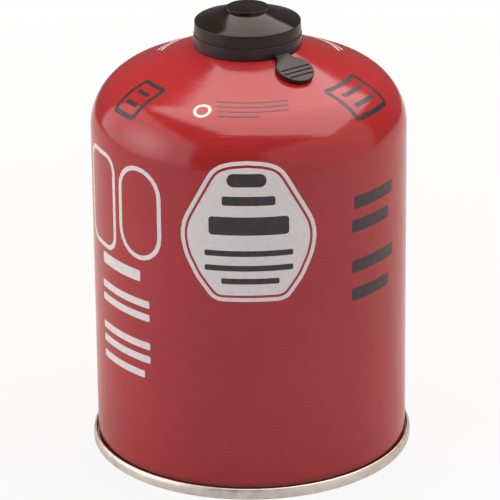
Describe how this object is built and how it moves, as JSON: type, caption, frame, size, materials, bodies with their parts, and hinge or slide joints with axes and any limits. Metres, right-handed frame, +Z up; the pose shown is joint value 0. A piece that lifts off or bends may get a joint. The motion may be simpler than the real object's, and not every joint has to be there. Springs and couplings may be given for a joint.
{
  "type": "fuel canister",
  "caption": "Screw-valve gas canister: drawn steel can with a domed shoulder, a seamed concave base, a crimped threaded valve and a push-on cap with a pull tab.",
  "frame": {"origin": "centre of the foot ring, on the surface the canister stands on", "axes": "+Z up along the can's axis, through the valve; the pull tab lies towards +X and -Y"},
  "size_m": [0.11, 0.11, 0.156],
  "materials": {
    "red_paint": "semi-gloss red lacquer",
    "tinplate": "bright tinplate, slightly warm",
    "black_moulding": "glossy black polyethylene",
    "rubber": "matt black rubber",
    "pale_moulding": "natural acetal",
    "spring_steel": "drawn stainless wire",
    "white_print": "semi-gloss white print",
    "black_print": "semi-gloss black print"
  },
  "bodies": {
    "can": {"can_body": "red_paint", "bottom_end": "tinplate", "valve_cup": "tinplate", "cup_gasket": "rubber", "valve_housing": "pale_moulding", "valve_seal": "rubber", "valve_spring": "spring_steel"},
    "cap": {"cap": "black_moulding"},
    "stem": {"valve_stem": "pale_moulding"}
  },
  "joints": [
    {"name": "cap_lift", "type": "slide", "parent": "can", "child": "cap", "axis": [0, 0, 1], "range_m": [0, 0.03]},
    {"name": "stem_press", "type": "slide", "parent": "can", "child": "stem", "axis": [0, 0, -1], "range_m": [0, 0.0015], "stiffness_N_per_m": 3000, "springref_m": -0.003, "deforming": ["valve_spring"]}
  ]
}
